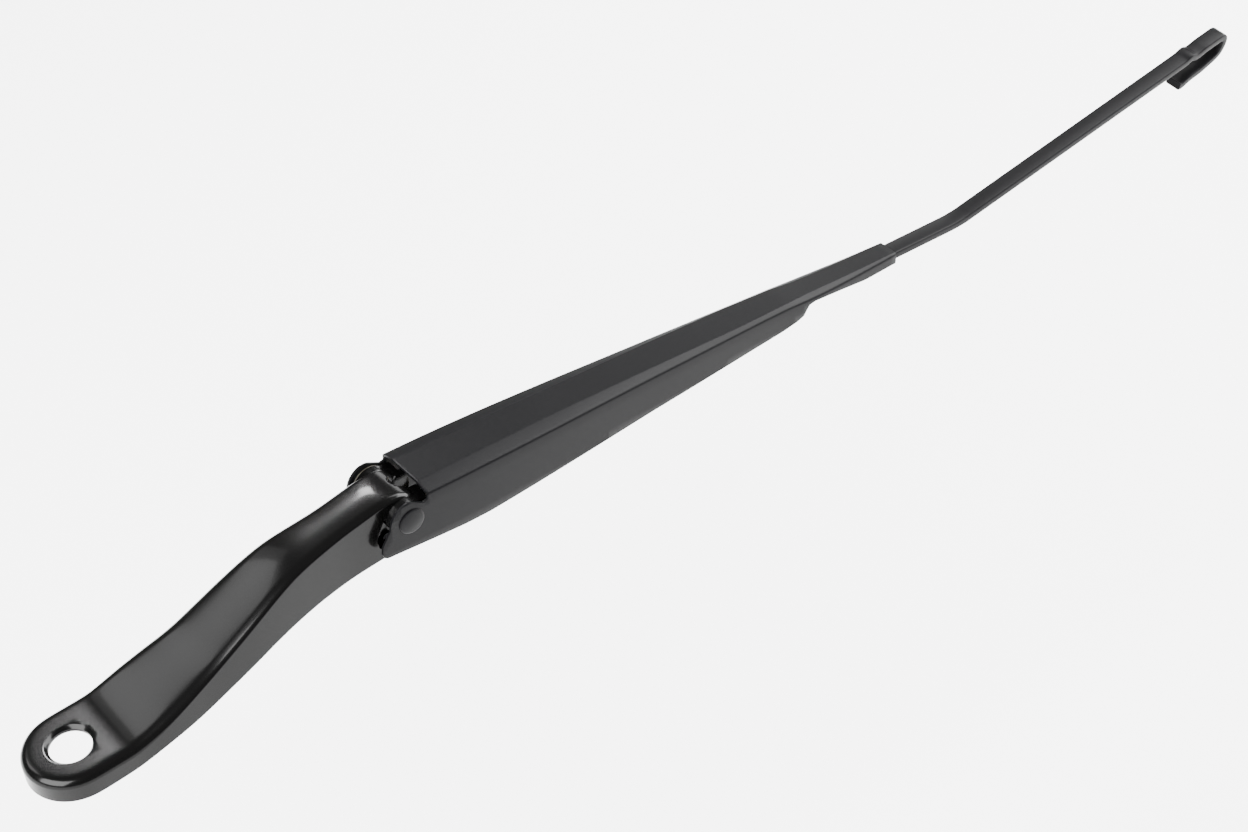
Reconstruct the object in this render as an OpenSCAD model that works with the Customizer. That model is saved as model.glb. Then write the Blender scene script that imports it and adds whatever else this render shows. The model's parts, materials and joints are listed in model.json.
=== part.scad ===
// Wiper arm: a cast head for the spindle, a pressed channel hinged to it by a rivet,
// and a flat steel rod that ends in a hook for the blade.
// The origin is on the spindle's axis, at the seat under the head's plate.
// +X runs towards the hook, +Z up along the spindle. Everything is symmetric about y = 0
// apart from the rod's slight twist. All sizes are in millimetres.

/* [Boss] */
// Outer radius of the round boss
boss_r = 21.3; // [20:0.1:23]
// Thickness of the boss's plate, from the seat to the flat top
boss_plate = 4; // [3:0.1:6]
// Depth of the boss's rim below the seat
boss_rim = 7.5; // [5:0.1:10]
// Radius that rounds the boss's top edge
boss_round = 4.2; // [2:0.1:5]
// Radius of the spindle bore
bore_r = 9.2; // [6:0.1:10]
// Width of the chamfer at the mouth of the bore
bore_chamfer = 1.4; // [0.5:0.1:2]

/* [Head] */
// Wall of the casting at its sides
head_wall = 2.8; // [2:0.1:3.5]
// Wall of the casting at its top
head_roof = 2; // [1.6:0.1:2.2]
// Radius of the head's long top edges
head_round = 3.2; // [2:0.1:4]
// How much wider the head is at its foot, each side, for draft
head_draft = 0.8; // [0:0.1:1.5]
// Distance from the spindle to the hinge
hinge_x = 165.5; // [160:0.5:175]
// Height of the hinge above the seat
hinge_z = 34.9; // [33:0.1:36]
// How far the head's ears reach past the hinge
ear_reach = 7.6; // [7:0.1:8]
// Half of the notch between the ears
notch_half = 4.5; // [4.4:0.1:5]
// Half of the tongue behind the side cut-outs
tongue_half = 8; // [7.5:0.1:9]

/* [Hinge] */
// Radius of the hinge rivet
pin_r = 3; // [2.5:0.1:3.2]
// Running clearance of the rivet in the head, on the radius
pin_gap = 0.05; // [0.02:0.01:0.1]
// Radius of the rivet's domed heads
rivet_r = 6.3; // [5:0.1:7]
// Height of the rivet's domed heads
rivet_h = 1.2; // [0.8:0.1:2]
// Thickness of the washers
washer_t = 1; // [0.6:0.1:1.5]
// Outer radius of the washers
washer_r = 8.4; // [7:0.1:9]
// Radius of the cast pads round the rivet
pad_r = 8.8; // [8:0.1:9.2]
// How far the channel hangs down from the plane of the boss, in degrees
droop = 5.2; // [3:0.1:7]

/* [Channel] */
// Thickness of the channel's sheet
sheet = 1.2; // [1:0.1:1.5]
// Half of the channel's width at the hinge
channel_half = 17; // [16.5:0.1:18]
// Half of the channel's width where its side walls end
channel_end_half = 9.4; // [8:0.1:10]
// Distance from the hinge to the front edge of the channel's top
roof_start = 8.7; // [8.5:0.1:12]
// Distance from the hinge to the start of the crimp
crimp_start = 236; // [230:1:245]
// Distance from the hinge to the end of the crimp
crimp_end = 297; // [285:1:305]
// Height of the channel's top above the hinge, at the wide end
roof_front = 12.5; // [12.4:0.1:13]
// How far the channel's shoulders lie below its top
shoulder = 1.4; // [0.5:0.1:1.6]
// Half of the width between the shoulders, along the channel's middle
flat_half = 8; // [7:0.1:9]
// Radius of the lobes round the hinge
lobe_r = 10.8; // [10:0.1:11]

/* [Rod] */
// Width of the rod
rod_w = 9; // [8:0.5:10]
// Thickness of the rod
rod_t = 4; // [3:0.1:4.5]
// Distance from the hinge to the rod's inner end
rod_start = 180; // [176:1:186]
// Distance from the hinge to the bend
bend_x = 343; // [320:1:370]
// Angle of the bend, upwards
bend_a = 11.4; // [5:0.1:15]
// Distance from the bend to the outside of the hook
rod_reach = 198; // [170:1:220]
// Twist of the rod from the bend to the hook, in degrees
rod_twist = 6; // [0:0.5:10]
// Clear height inside the hook
hook_gap = 9.4; // [8:0.1:10]
// Length of the hook's returning leg
hook_leg = 22; // [15:1:30]

/* [Spring and link] */
// Radius of the cross pin that holds the link
anchor_r = 2.2; // [1.8:0.1:2.4]
// The cross pin's place behind the hinge
anchor_back = 8; // [7:0.1:8.5]
// The cross pin's place below the hinge
anchor_down = 11.6; // [11.4:0.1:12]
// Clearance of the link in the notch, at each side
link_gap = 0.5; // [0.3:0.1:0.8]
// Thickness of the link's bow under the rivet
link_t = 3.2; // [2.6:0.1:3.3]
// Radius of the spring's wire
wire_r = 1.1; // [0.9:0.1:1.2]
// Mean radius of the spring's coil
coil_r = 5; // [4.5:0.1:5.2]
// Number of turns in the coil
turns = 22; // [18:1:26]

/* [Hidden] */
$fn = 64;

// Heights and half-widths of the head along x, from the boss to the hinge
head_top = [[0, boss_plate], [17, boss_plate], [24, 5.2], [35, 9], [47, 13], [60, 17.6],
            [75, 24.6], [90, 31.9], [101, 36.9], [109, 39.8], [118, 41.6], [130, 43.1],
            [150, 45.5], [hinge_x - 10, hinge_z + 11.6], [hinge_x - 6, hinge_z + 12.1],
            [hinge_x - 3, hinge_z + 11.9], [hinge_x, hinge_z + 11.2], [hinge_x + 3, hinge_z + 9.9],
            [hinge_x + 6, hinge_z + 7.8], [hinge_x + ear_reach, hinge_z + 6.3]];
head_foot = [[0, -boss_rim], [15, -boss_rim + 0.4], [35, -3.4], [55, -0.2], [75, 5.2],
             [95, 11.2], [108, 13.9], [120, 15.4], [150, 16.9], [hinge_x + ear_reach, 17.4]];
head_half = [[0, boss_r], [26, boss_r], [35, boss_r - 0.2], [45, 20.2], [60, 18.2], [85, 16.2],
             [105, 14], [125, 11.8], [138, 10.9], [hinge_x - 10, 10.9], [hinge_x + ear_reach, 11.6]];
head_stations = [0, 17, 20, 24, 29, 35, 47, 60, 75, 90, 101, 109, 118, 130, 138, 150, hinge_x - 10,
                 hinge_x - 6, hinge_x - 3, hinge_x, hinge_x + 3, hinge_x + 6, hinge_x + ear_reach];

// How far the cutting shapes reach: past everything that they cut
cut = hinge_x / 2;
// Where the hollow underside and the slot between the tongue's plates begin and meet
hollow_start = 15;
slot_start = hinge_x - 20;

// Places measured from the hinge, along the channel and up from it
rod_top = 3.2;
crimp_half = rod_w / 2 + 0.05 + sheet;
roof_end = rod_top + 0.05 + sheet;
crimp_foot = rod_top - rod_t - 0.05 - sheet;
seam_half = 0.4;
notch_x = 2.6;
wall_in = channel_half - sheet;
washer_out = wall_in - 0.1;
pad_half = washer_out - washer_t - 0.05;
close_x = crimp_start - 14;
channel_half_at = [[-20, channel_half], [14, channel_half], [150, 12.35], [185, 10.85],
                   [close_x - 15, 9.9], [close_x, channel_end_half], [crimp_start + 6, 9],
                   [crimp_start + 22, 8.3], [crimp_start + 40, 7.3], [crimp_end, crimp_half + 0.4]];
channel_top_at = [[-20, roof_front], [roof_start, roof_front], [close_x, 7.4], [crimp_start + 6, 6.2],
                  [crimp_start + 35, 5], [crimp_end, roof_end]];
shoulder_at = [[-20, shoulder], [close_x, shoulder - 0.2], [crimp_start + 6, 1.1], [crimp_end, 0.6]];
flat_half_at = [[-20, flat_half + 1.5], [30, flat_half + 0.8], [100, flat_half], [185, flat_half],
                [close_x, flat_half - 1.1], [crimp_start + 6, 5.6], [crimp_end, 5]];
channel_stations = [-20, 14, 50, 100, 150, 185, close_x - 15, close_x, crimp_start - 4,
                    crimp_start + 6, crimp_start + 22, crimp_start + 40, crimp_end];

// The hook's centre line, measured from the bend
hook_top = rod_reach - rod_t / 2;
hook_drop = hook_gap + rod_t;
hook_line = [[hook_top - 12, -2], [hook_top - 5, -2], [hook_top - 2, -2.2], [hook_top - 0.4, -3.6],
             [hook_top - 0.2, -5.5], [hook_top - 1.3, -8.6], [hook_top - 3.8, -hook_drop + 1.7],
             [hook_top - 7.5, -hook_drop + 0.2], [hook_top - 12, -hook_drop - 0.6],
             [hook_top - 18, -hook_drop - 1.6], [hook_top - hook_leg - 4, -hook_drop - 1.9],
             [hook_top - hook_leg - 10, -hook_drop - 3], [hook_top - hook_leg - 12, -hook_drop - 2.6]];

// The hole at the rod's inner end, and the wire's place under the rod, where the spring pulls
rod_hole_x = rod_start + 6;
rod_hole_r = 2.3;
hook_z = rod_top - rod_t - wire_r - 0.1;

// The link and the spring lie on one straight line, from the cross pin to the spring's hook
anchor_r_out = anchor_r + 2.2;
anchor_dist = norm([anchor_back, anchor_down]);
hook_x_head = rod_hole_x * cos(droop) + hook_z * sin(droop);
hook_z_head = -rod_hole_x * sin(droop) + hook_z * cos(droop);
pull_dist = norm([hook_x_head + anchor_back, hook_z_head + anchor_down]);
link_angle = atan2(hook_z_head + anchor_down, hook_x_head + anchor_back);
link_w = 2 * (notch_half - link_gap);
link_in = pin_r + 0.8;
link_eye = 34;
link_eye_r = 2.8;
loop_r = 6;

function arc(cx, cz, r, a0, a1, n) = [for (i = [0:n]) [cx + r * cos(a0 + (a1 - a0) * i / n),
                                                       cz + r * sin(a0 + (a1 - a0) * i / n)]];

// The head's section: foot, side, rounded corner and slightly crowned top
function section(half, foot_half, foot, top, r, rise) = concat(
    [[-foot_half, foot]],
    [for (p = arc(-half + r, top - r, r, 180, 90, 5)) p],
    [[-half / 3, top + rise * 0.85], [0, top + rise], [half / 3, top + rise * 0.85]],
    [for (p = arc(half - r, top - r, r, 90, 0, 5)) p],
    [[foot_half, foot]]);

// A solid through rings of points that all have the same count
module skin(rings) {
    n = len(rings[0]);
    m = len(rings);
    polyhedron(points = [for (ring = rings) for (p = ring) p],
               faces = concat([[for (i = [0:n - 1]) i]],
                              [for (k = [0:m - 2]) for (i = [0:n - 1])
                                  [k * n + i, k * n + n + i, k * n + n + (i + 1) % n, k * n + (i + 1) % n]],
                              [[for (i = [n - 1:-1:0]) (m - 1) * n + i]]),
               convexity = 6);
}

// Puts a thing that is drawn from the hinge, along the channel, in its place
module on_arm() {
    translate([hinge_x, 0, hinge_z]) rotate([0, droop, 0]) children();
}

// Puts a thing that is drawn from the hinge in its place on the head
module on_head() {
    translate([hinge_x, 0, hinge_z]) children();
}

// A flat outline in x and z, made a plate of the given width about y = 0
module plate(width) {
    rotate([90, 0, 0]) linear_extrude(height = width, center = true) children();
}

module cross_cylinder(r, width) {
    rotate([90, 0, 0]) cylinder(r = r, h = width, center = true);
}

module head_body(half_less, top_less, foot_more, r) {
    skin([for (x = head_stations)
        [for (p = section(lookup(x, head_half) - half_less, lookup(x, head_half) + head_draft - half_less,
                          lookup(x, head_foot) - foot_more, lookup(x, head_top) - top_less, r, 0.2))
            [x, -p[0], p[1]]]]);
}

module boss() {
    rotate_extrude($fn = 96) polygon(concat(
        [[0, -boss_rim], [boss_r, -boss_rim]],
        arc(boss_r - boss_round, boss_plate - boss_round, boss_round, 0, 90, 8),
        [[0, boss_plate]]));
}

// The side walls stop short of the hinge; only the tongue goes on to the rivet
module side_cut() {
    polygon([[20, 6.2], [-0.8, 6.2], [-4.5, 6], [-7.4, 5], [-10.9, 1.2], [-13.8, -3.5], [-15.2, -7.2],
             [-14.6, -11], [-11, -15.5], [-9.5, -30], [20, -30]]);
}

module arm_head() color([0.1, 0.1, 0.11]) {
    difference() {
        union() {
            boss();
            difference() {
                head_body(0, 0, 0, head_round);
                for (s = [-1, 1]) on_head()
                    translate([0, s * (tongue_half + cut / 2), 0]) plate(cut) side_cut();
            }
            on_head() cross_cylinder(pad_r, 2 * pad_half);
        }
        // hollow underside
        intersection() {
            head_body(head_wall, head_roof, 40, 1.2);
            translate([hollow_start, -cut, -cut]) cube([slot_start + 2 - hollow_start, 2 * cut, 2 * cut]);
        }
        intersection() {
            head_body(head_wall, head_roof, 40, 1.2);
            translate([slot_start, -notch_half, -cut])
                cube([hinge_x + 3 - slot_start, 2 * notch_half, 2 * cut]);
        }
        translate([0, 0, -boss_rim - 1]) cylinder(r = boss_r - 4.4, h = boss_rim + 1, $fn = 96);
        // notch between the ears
        on_head() translate([notch_x, 0, -cut]) {
            cylinder(r = notch_half, h = 2 * cut);
            translate([0, -notch_half, 0]) cube([cut, 2 * notch_half, 2 * cut]);
        }
        // bores
        translate([0, 0, -1]) cylinder(r = bore_r, h = boss_plate + 2, $fn = 96);
        translate([0, 0, boss_plate - bore_chamfer])
            cylinder(r1 = bore_r, r2 = bore_r + bore_chamfer + 0.01, h = bore_chamfer + 0.01, $fn = 96);
        on_head() cross_cylinder(pin_r + pin_gap, 3 * cut);
        on_head() translate([-anchor_back, 0, -anchor_down]) cross_cylinder(anchor_r, 2 * tongue_half - 1);
    }
}

// Side view of the channel: lobe, heel, lower edge, end cut and crimp
module channel_side() {
    polygon(concat(
        [[roof_start, 24], [roof_start, 7.6], [6.6, 6.9]],
        arc(0, 0, lobe_r, 96, 182, 12),
        [[-12.2, -2.6], [-15.2, -7.6]],
        arc(-11.8, -10.9, 3.7, 165, 262, 6),
        [[15, -16.4], [28, -17.2], [42, -17.3], [66, -15.8], [103, -13.4], [136, -11.1], [176, -8.8],
         [close_x - 10, -6.6], [close_x, -5.8], [crimp_start - 6, -4.4], [crimp_start - 2.2, -2.9],
         [crimp_start - 0.5, -0.3], [crimp_start + 1.2, 2], [crimp_start + 5, 2.6],
         [crimp_start + 14, 1.7], [crimp_start + 22, 0.8], [crimp_start + 29, -0.1],
         [crimp_start + 38, -1.3], [crimp_start + 48, crimp_foot], [crimp_end, crimp_foot],
         [crimp_end, 24]]));
}

// The channel's section: foot, side, corner, sloping shoulder and flat top
function channel_ring(x, less, foot, r) =
    let (half = lookup(x, channel_half_at) - less,
         top = lookup(x, channel_top_at) - less,
         edge = top - lookup(x, shoulder_at),
         flat = min(lookup(x, flat_half_at), half - r - 0.3),
         mid = flat + 0.4 * (half - r - flat),
         side = concat([for (p = arc(-half + r, edge - r, r, 180, 95, 5)) p],
                       [[-mid, top - 0.3 * (top - edge)], [-flat, top]]))
    [for (p = concat([[-half, foot]], side, [for (i = [len(side) - 1:-1:0]) [-side[i][0], side[i][1]]],
                     [[half, foot]])) [x, -p[0], p[1]]];

module channel_body(less, foot, r) {
    skin([for (x = channel_stations) channel_ring(x, less, foot, r)]);
}

module channel() color([0.2, 0.2, 0.21]) on_arm() difference() {
    intersection() {
        channel_body(0, -40, 1.8);
        plate(3 * cut) channel_side();
    }
    // inside of the sheet, as far as the crimp
    intersection() {
        channel_body(sheet, -60, 0.8);
        translate([-cut, -cut, -cut]) cube([crimp_start + 20 + cut, 2 * cut, 2 * cut]);
    }
    // no top between the lobes
    translate([-cut, -wall_in, -cut]) cube([roof_start + cut, 2 * wall_in, 2 * cut]);
    // the rod's passage through the crimp and the seam under it
    translate([crimp_start - 10, -rod_w / 2 - 0.05, rod_top - rod_t - 0.05])
        cube([crimp_end - crimp_start + 20, rod_w + 0.1, rod_t + 0.1]);
    translate([crimp_start, -seam_half, -cut]) cube([crimp_end - crimp_start + 10, 2 * seam_half, cut]);
    cross_cylinder(pin_r + 0.02, 3 * cut);
}

// Places along the rod's centre line: x, z, slope and twist
function rod_slope(line, i) = let (a = line[max(0, i - 1)], b = line[min(len(line) - 1, i + 1)])
    atan2(b[1] - a[1], b[0] - a[0]);
rod_straight = [for (x = [rod_start, rod_start + 4, rod_start + 12, crimp_start, bend_x - 10]) [x, rod_top - 2]];
function past_bend(p) = [bend_x + p[0] * cos(bend_a) - p[1] * sin(bend_a),
                         rod_top + p[0] * sin(bend_a) + p[1] * cos(bend_a)];
rod_rise = [for (s = [6, each [20:20:rod_reach - 20]]) past_bend([s, -2])];
rod_points = concat(rod_straight, [[bend_x - 3, rod_top - 1.9]], rod_rise,
                    [for (p = hook_line) past_bend(p)]);
function rod_ring(corner) = concat(
    arc(rod_w / 2 - corner, rod_t / 2 - corner, corner, 0, 90, 3),
    arc(-rod_w / 2 + corner, rod_t / 2 - corner, corner, 90, 180, 3),
    arc(-rod_w / 2 + corner, -rod_t / 2 + corner, corner, 180, 270, 3),
    arc(rod_w / 2 - corner, -rod_t / 2 + corner, corner, 270, 360, 3));
function rod_turn(x) = rod_twist * max(0, min(1, (x - bend_x) / rod_reach));
// A point of the section, turned by the twist about the rod's own run, then by its slope
function rod_point(c, slope, turn, p) =
    let (y = p[0] * cos(turn) - p[1] * sin(turn), h = p[0] * sin(turn) + p[1] * cos(turn))
    [c[0] - h * sin(slope), y, c[1] + h * cos(slope)];
// The hook turns over, so its twist is laid on as one turn about the line of the rod
function about_rod(q, turn) =
    let (u = (q[0] - bend_x) * cos(bend_a) + (q[2] - rod_top) * sin(bend_a),
         v = -(q[0] - bend_x) * sin(bend_a) + (q[2] - rod_top) * cos(bend_a),
         y = q[1] * cos(turn) - v * sin(turn), w = q[1] * sin(turn) + v * cos(turn))
    [bend_x + u * cos(bend_a) - w * sin(bend_a), y, rod_top + u * sin(bend_a) + w * cos(bend_a)];

module arm_rod() color([0.25, 0.25, 0.26]) on_arm() difference() {
    skin([for (i = [0:len(rod_points) - 1])
        let (c = rod_points[i], slope = rod_slope(rod_points, i))
        [for (p = rod_ring(0.7)) about_rod(rod_point(c, slope, 0, p), rod_turn(c[0]))]]);
    translate([rod_hole_x, 0, -10]) cylinder(r = rod_hole_r, h = 20);
}

module hinge_pin() color([0.3, 0.3, 0.31]) on_arm() {
    cross_cylinder(pin_r, 2 * channel_half);
    for (s = [-1, 1]) rotate([-90 * s, 0, 0]) translate([0, 0, channel_half])
        rotate_extrude() intersection() {
            translate([0, rivet_h - 18]) circle(r = 18, $fn = 180);
            square([rivet_r, rivet_h + 1]);
        }
}

module washer(side) {
    on_arm() rotate([90, 0, 0]) translate([0, 0, side * (washer_out - washer_t / 2)]) difference() {
        cylinder(r = washer_r, h = washer_t, center = true);
        cylinder(r = pin_r + pin_gap, h = 3 * washer_t, center = true);
    }
}

module washer_near() color([0.7, 0.68, 0.6]) washer(1);

module washer_far() color([0.7, 0.68, 0.6]) washer(-1);

module spring_anchor_pin() color([0.6, 0.6, 0.62])
    on_head() translate([-anchor_back, 0, -anchor_down]) cross_cylinder(anchor_r, 2 * tongue_half - 1);

// A straight bar with round ends, in x and z
module bar(a, b, r) {
    d = b - a;
    translate(a) circle(r = r);
    translate(b) circle(r = r);
    translate(a) rotate(atan2(d[1], d[0])) translate([0, -r]) square([norm(d), 2 * r]);
}

// The link as drawn from the cross pin along the line of pull; at the arm's raised stop
// the rivet lies in its mouth
module link_side() {
    mouth = [anchor_dist, 0.3];
    bow_r = link_in + link_t / 2;
    difference() {
        union() {
            difference() {
                translate(mouth) circle(r = link_in + link_t);
                translate(mouth) polygon([[-40, -7], [0, 0], [40, -7], [40, 40], [-40, 40]]);
            }
            bar([0, -0.4], mouth + bow_r * [cos(192), sin(192)], link_t / 2);
            bar(mouth + bow_r * [cos(348), sin(348)], [link_eye, 0], link_t / 2);
            circle(r = anchor_r_out);
            translate([link_eye, 0]) circle(r = link_eye_r + 2.2);
        }
        translate(mouth) circle(r = link_in);
        translate([link_eye, 0]) circle(r = link_eye_r);
        circle(r = anchor_r + pin_gap);
    }
}

module spring_link() color([0.75, 0.72, 0.62])
    on_head() translate([-anchor_back, 0, -anchor_down]) rotate([0, -link_angle, 0]) plate(link_w) link_side();

// The spring's wire, drawn back from the hook under the rod: loop through the link's eye,
// coil, straight end, and hook up through the rod's hole
eye_x = link_eye - 0.4 - pull_dist;
loop_x = eye_x + loop_r;
coil_x0 = loop_x + loop_r + 5;
coil_len = 100;
coil_x1 = coil_x0 + coil_len;
function up_hook(x, z) = [x * cos(droop + link_angle) + z * sin(droop + link_angle), 0,
                          -x * sin(droop + link_angle) + z * cos(droop + link_angle)];
wire_line = concat(
    [for (a = [200:20:500]) [loop_x - loop_r * cos(a), -loop_r * sin(a), 0]],
    [for (i = [0:turns * 10]) let (a = 36 * i, r = coil_r * min(1, (i + 2) / 7, (turns * 10 - i + 2) / 7))
        [coil_x0 + coil_len * i / (turns * 10), r * sin(a), r * cos(a)]],
    [[coil_x1 + 6, 0, 0], up_hook(-4, -0.2), up_hook(-1, 0), up_hook(-0.2, 1), up_hook(0, 2.4),
     up_hook(0, 4.6), up_hook(-0.6, 6), up_hook(-2.4, rod_t + 2 * wire_r + 0.2)]);

function unit(v) = v / norm(v);
function run_of(line, i) = unit(line[min(len(line) - 1, i + 1)] - line[max(0, i - 1)]);
// The section's own direction is carried from point to point, so that it never turns over
function carried(line) = [for (i = 0, t = run_of(line, 0), u = unit(cross(t, [0, 0, 1])); i < len(line);
                               i = i + 1, t = run_of(line, min(i, len(line) - 1)), u = unit(u - t * (u * t)))
                          [u, cross(t, u)]];
module wire(line, r) {
    side = carried(line);
    skin([for (i = [0:len(line) - 1])
        [for (k = [0:5]) line[i] + r * (side[i][0] * cos(60 * k) + side[i][1] * sin(60 * k))]]);
}

module tension_spring() color([0.35, 0.36, 0.38])
    on_arm() translate([rod_hole_x, 0, hook_z]) rotate([0, -link_angle - droop, 0])
        wire(wire_line, wire_r);

arm_head();
channel();
arm_rod();
hinge_pin();
washer_near();
washer_far();
spring_anchor_pin();
spring_link();
tension_spring();
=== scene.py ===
# %% [markdown]
# A wiper arm is three things joined in a row: a cast head that sits on the wiper spindle, a pressed
# steel channel that hinges on the head, and a flat steel rod that ends in a hook for the blade.
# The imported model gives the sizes, the bodies and the hinge. Everything that is modelled here is laid
# over it, in metres, in the same frame: x from the spindle towards the hook, z up along the spindle.

# %% Load the frame
import json
import math

import bmesh
import bpy
from mathutils import Matrix, Vector


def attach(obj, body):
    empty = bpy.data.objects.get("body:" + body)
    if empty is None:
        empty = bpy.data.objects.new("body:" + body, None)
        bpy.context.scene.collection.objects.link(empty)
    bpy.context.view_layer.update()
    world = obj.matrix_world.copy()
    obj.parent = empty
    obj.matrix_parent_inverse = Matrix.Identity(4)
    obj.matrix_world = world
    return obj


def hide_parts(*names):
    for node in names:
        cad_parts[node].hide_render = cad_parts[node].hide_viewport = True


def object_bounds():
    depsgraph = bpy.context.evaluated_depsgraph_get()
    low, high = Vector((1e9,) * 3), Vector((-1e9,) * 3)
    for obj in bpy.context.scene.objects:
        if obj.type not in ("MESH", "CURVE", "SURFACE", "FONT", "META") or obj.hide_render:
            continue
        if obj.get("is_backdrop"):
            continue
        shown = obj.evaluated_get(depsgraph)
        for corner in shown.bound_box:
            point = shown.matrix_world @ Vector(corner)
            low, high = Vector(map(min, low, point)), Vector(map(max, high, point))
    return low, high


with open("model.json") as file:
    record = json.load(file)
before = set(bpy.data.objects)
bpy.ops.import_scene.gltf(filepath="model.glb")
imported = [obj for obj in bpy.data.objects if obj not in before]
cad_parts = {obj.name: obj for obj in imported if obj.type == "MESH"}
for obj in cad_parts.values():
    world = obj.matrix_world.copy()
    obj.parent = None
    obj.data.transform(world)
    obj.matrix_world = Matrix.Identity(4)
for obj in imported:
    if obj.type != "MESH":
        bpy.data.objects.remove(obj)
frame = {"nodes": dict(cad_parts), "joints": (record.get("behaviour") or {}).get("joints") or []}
cad_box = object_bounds()
MM = 0.001
joints = {joint["name"]: joint for joint in frame["joints"]}
hinge = Vector(joints["arm_hinge"]["pos_m"]) / MM

# %% [markdown]
# Lengths are written in millimetres, as on a workshop drawing, and one matrix takes each piece to its
# place in the frame. The head's skin is drawn from the spindle and its cuts from the hinge. The
# channel, the rod and the rivet are drawn from the hinge along the channel, and are then hung at the
# small angle at which the arm droops, so one matrix serves all that turns with the arm.

# %% Places
droop = math.radians(5.2)
part_place = Matrix.Scale(MM, 4)
head_place = Matrix.Translation(hinge * MM) @ Matrix.Scale(MM, 4)
arm_place = Matrix.Translation(hinge * MM) @ Matrix.Rotation(droop, 4, "Y") @ Matrix.Scale(MM, 4)
print("the channel droops by", round(math.degrees(droop), 1), "degrees at rest")

# %% [markdown]
# A casting or a pressing changes its width, height and edges along its length. Each of those is a
# short table of [distance, value] pairs. Straight lines between the pairs would show as bands in the
# gloss, so `flowing` reads a table on a smooth curve. It never swings past the table's own values, so
# a stretch that is drawn level stays level. `arc` gives the points of a rounded stretch.


# %% Curves
def flowing(x, table):
    """The value at x of a table of [x, value] pairs, on a smooth curve."""
    rises = [(v1 - v0) / (x1 - x0) for (x0, v0), (x1, v1) in zip(table, table[1:])]
    slopes = [rises[0]]
    for before, after in zip(rises, rises[1:]):
        slopes.append(2 * before * after / (before + after) if before * after > 0 else 0.0)
    slopes.append(rises[-1])
    for i, ((x0, v0), (x1, v1)) in enumerate(zip(table, table[1:])):
        if x <= x1 or i == len(rises) - 1:
            run = x1 - x0
            t = max(0.0, min(1.0, (x - x0) / run))
            return (v0 * (1 + 2 * t) * (1 - t) ** 2 + slopes[i] * run * t * (1 - t) ** 2
                    + v1 * t * t * (3 - 2 * t) + slopes[i + 1] * run * t * t * (t - 1))


def arc(cx, cy, radius, start, end, steps):
    """Points along a round stretch, with its angles in degrees."""
    angles = [math.radians(start + (end - start) * i / steps) for i in range(steps + 1)]
    return [(cx + radius * math.cos(a), cy + radius * math.sin(a)) for a in angles]


print("half way along a table:", flowing(5, [[0, 0], [10, 1]]))

# %% [markdown]
# Three small helpers make meshes from the operators. `ring_chain` lays a row of cross-sections and
# bridges each to the next, which is how a tapering pressing or casting is lofted. `prism` extrudes a
# flat outline sideways, for cutting a side profile. `lathe` spins a half outline about an axis, for
# rivets and bores. `finish_mesh` puts the result in its place in the frame and smooths its shading.


# %% Mesh helpers
def ring_chain(bm, rings, closed):
    """Bridges rows of points, all with the same count; closed rows are loops."""
    rows = []
    for ring in rings:
        verts = [bm.verts.new(p) for p in ring]
        pairs = list(zip(verts, verts[1:]))
        if closed:
            pairs.append((verts[-1], verts[0]))
        rows.append([bm.edges.new(pair) for pair in pairs])
    for first, second in zip(rows, rows[1:]):
        bmesh.ops.bridge_loops(bm, edges=first + second)
    return rows


def prism(outline, low, high):
    """A plate with the outline given in x and z, from y = low to y = high."""
    bm = bmesh.new()
    face = bm.faces.new([bm.verts.new((x, low, z)) for x, z in outline])
    grown = bmesh.ops.extrude_face_region(bm, geom=[face])
    moved = [v for v in grown["geom"] if isinstance(v, bmesh.types.BMVert)]
    bmesh.ops.translate(bm, verts=moved, vec=(0, high - low, 0))
    bmesh.ops.recalc_face_normals(bm, faces=bm.faces)
    return bm


def lathe(profile, steps, axis=(0, 0, 1)):
    """Spins (radius, height) points about the axis; the first and last point lie on it."""
    bm = bmesh.new()
    up = Vector(axis)
    side = Vector((1, 0, 0))
    verts = [bm.verts.new(side * r + up * h) for r, h in profile]
    edges = [bm.edges.new(pair) for pair in zip(verts, verts[1:])]
    bmesh.ops.spin(bm, geom=verts + edges, cent=(0, 0, 0), axis=up, angle=math.tau, steps=steps,
                   use_merge=True)
    bmesh.ops.remove_doubles(bm, verts=bm.verts, dist=0.0005)
    bmesh.ops.recalc_face_normals(bm, faces=bm.faces)
    return bm


def finish_mesh(name, bm, place, sharp=35):
    """Makes an object of the mesh, smooth but for edges sharper than the angle."""
    bmesh.ops.transform(bm, matrix=place, verts=bm.verts)
    mesh = bpy.data.meshes.new(name)
    bm.to_mesh(mesh)
    bm.free()
    mesh.shade_smooth()
    mesh.set_sharp_from_angle(angle=math.radians(sharp))
    obj = bpy.data.objects.new(name, mesh)
    bpy.context.scene.collection.objects.link(obj)
    return obj


# %% [markdown]
# Modifiers do the work that a workshop does after casting and pressing. `carve` cuts a shape away or
# joins one on, `round_edges` takes the sharpness off, and `settle` bakes the result into the mesh
# before the next cut, so each cut works on plain faces. The manifold solver suits closed bodies such
# as these: it is quick, and its result is closed again.


# %% Workshop helpers
def settle(obj, sharp=35):
    """Bakes an object's modifiers into its own mesh."""
    bpy.context.view_layer.update()
    graph = bpy.context.evaluated_depsgraph_get()
    baked = bpy.data.meshes.new_from_object(obj.evaluated_get(graph))
    obj.modifiers.clear()
    obj.data = baked
    baked.shade_smooth()
    baked.set_sharp_from_angle(angle=math.radians(sharp))


def carve(obj, tool_bm, place, operation="DIFFERENCE"):
    """Cuts a tool shape out of the object, or joins it on."""
    tool = finish_mesh("tool", tool_bm, place)
    cut = obj.modifiers.new("cut", "BOOLEAN")
    cut.operation = operation
    cut.solver = "MANIFOLD"
    cut.object = tool
    settle(obj)
    bpy.data.objects.remove(tool)


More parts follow.
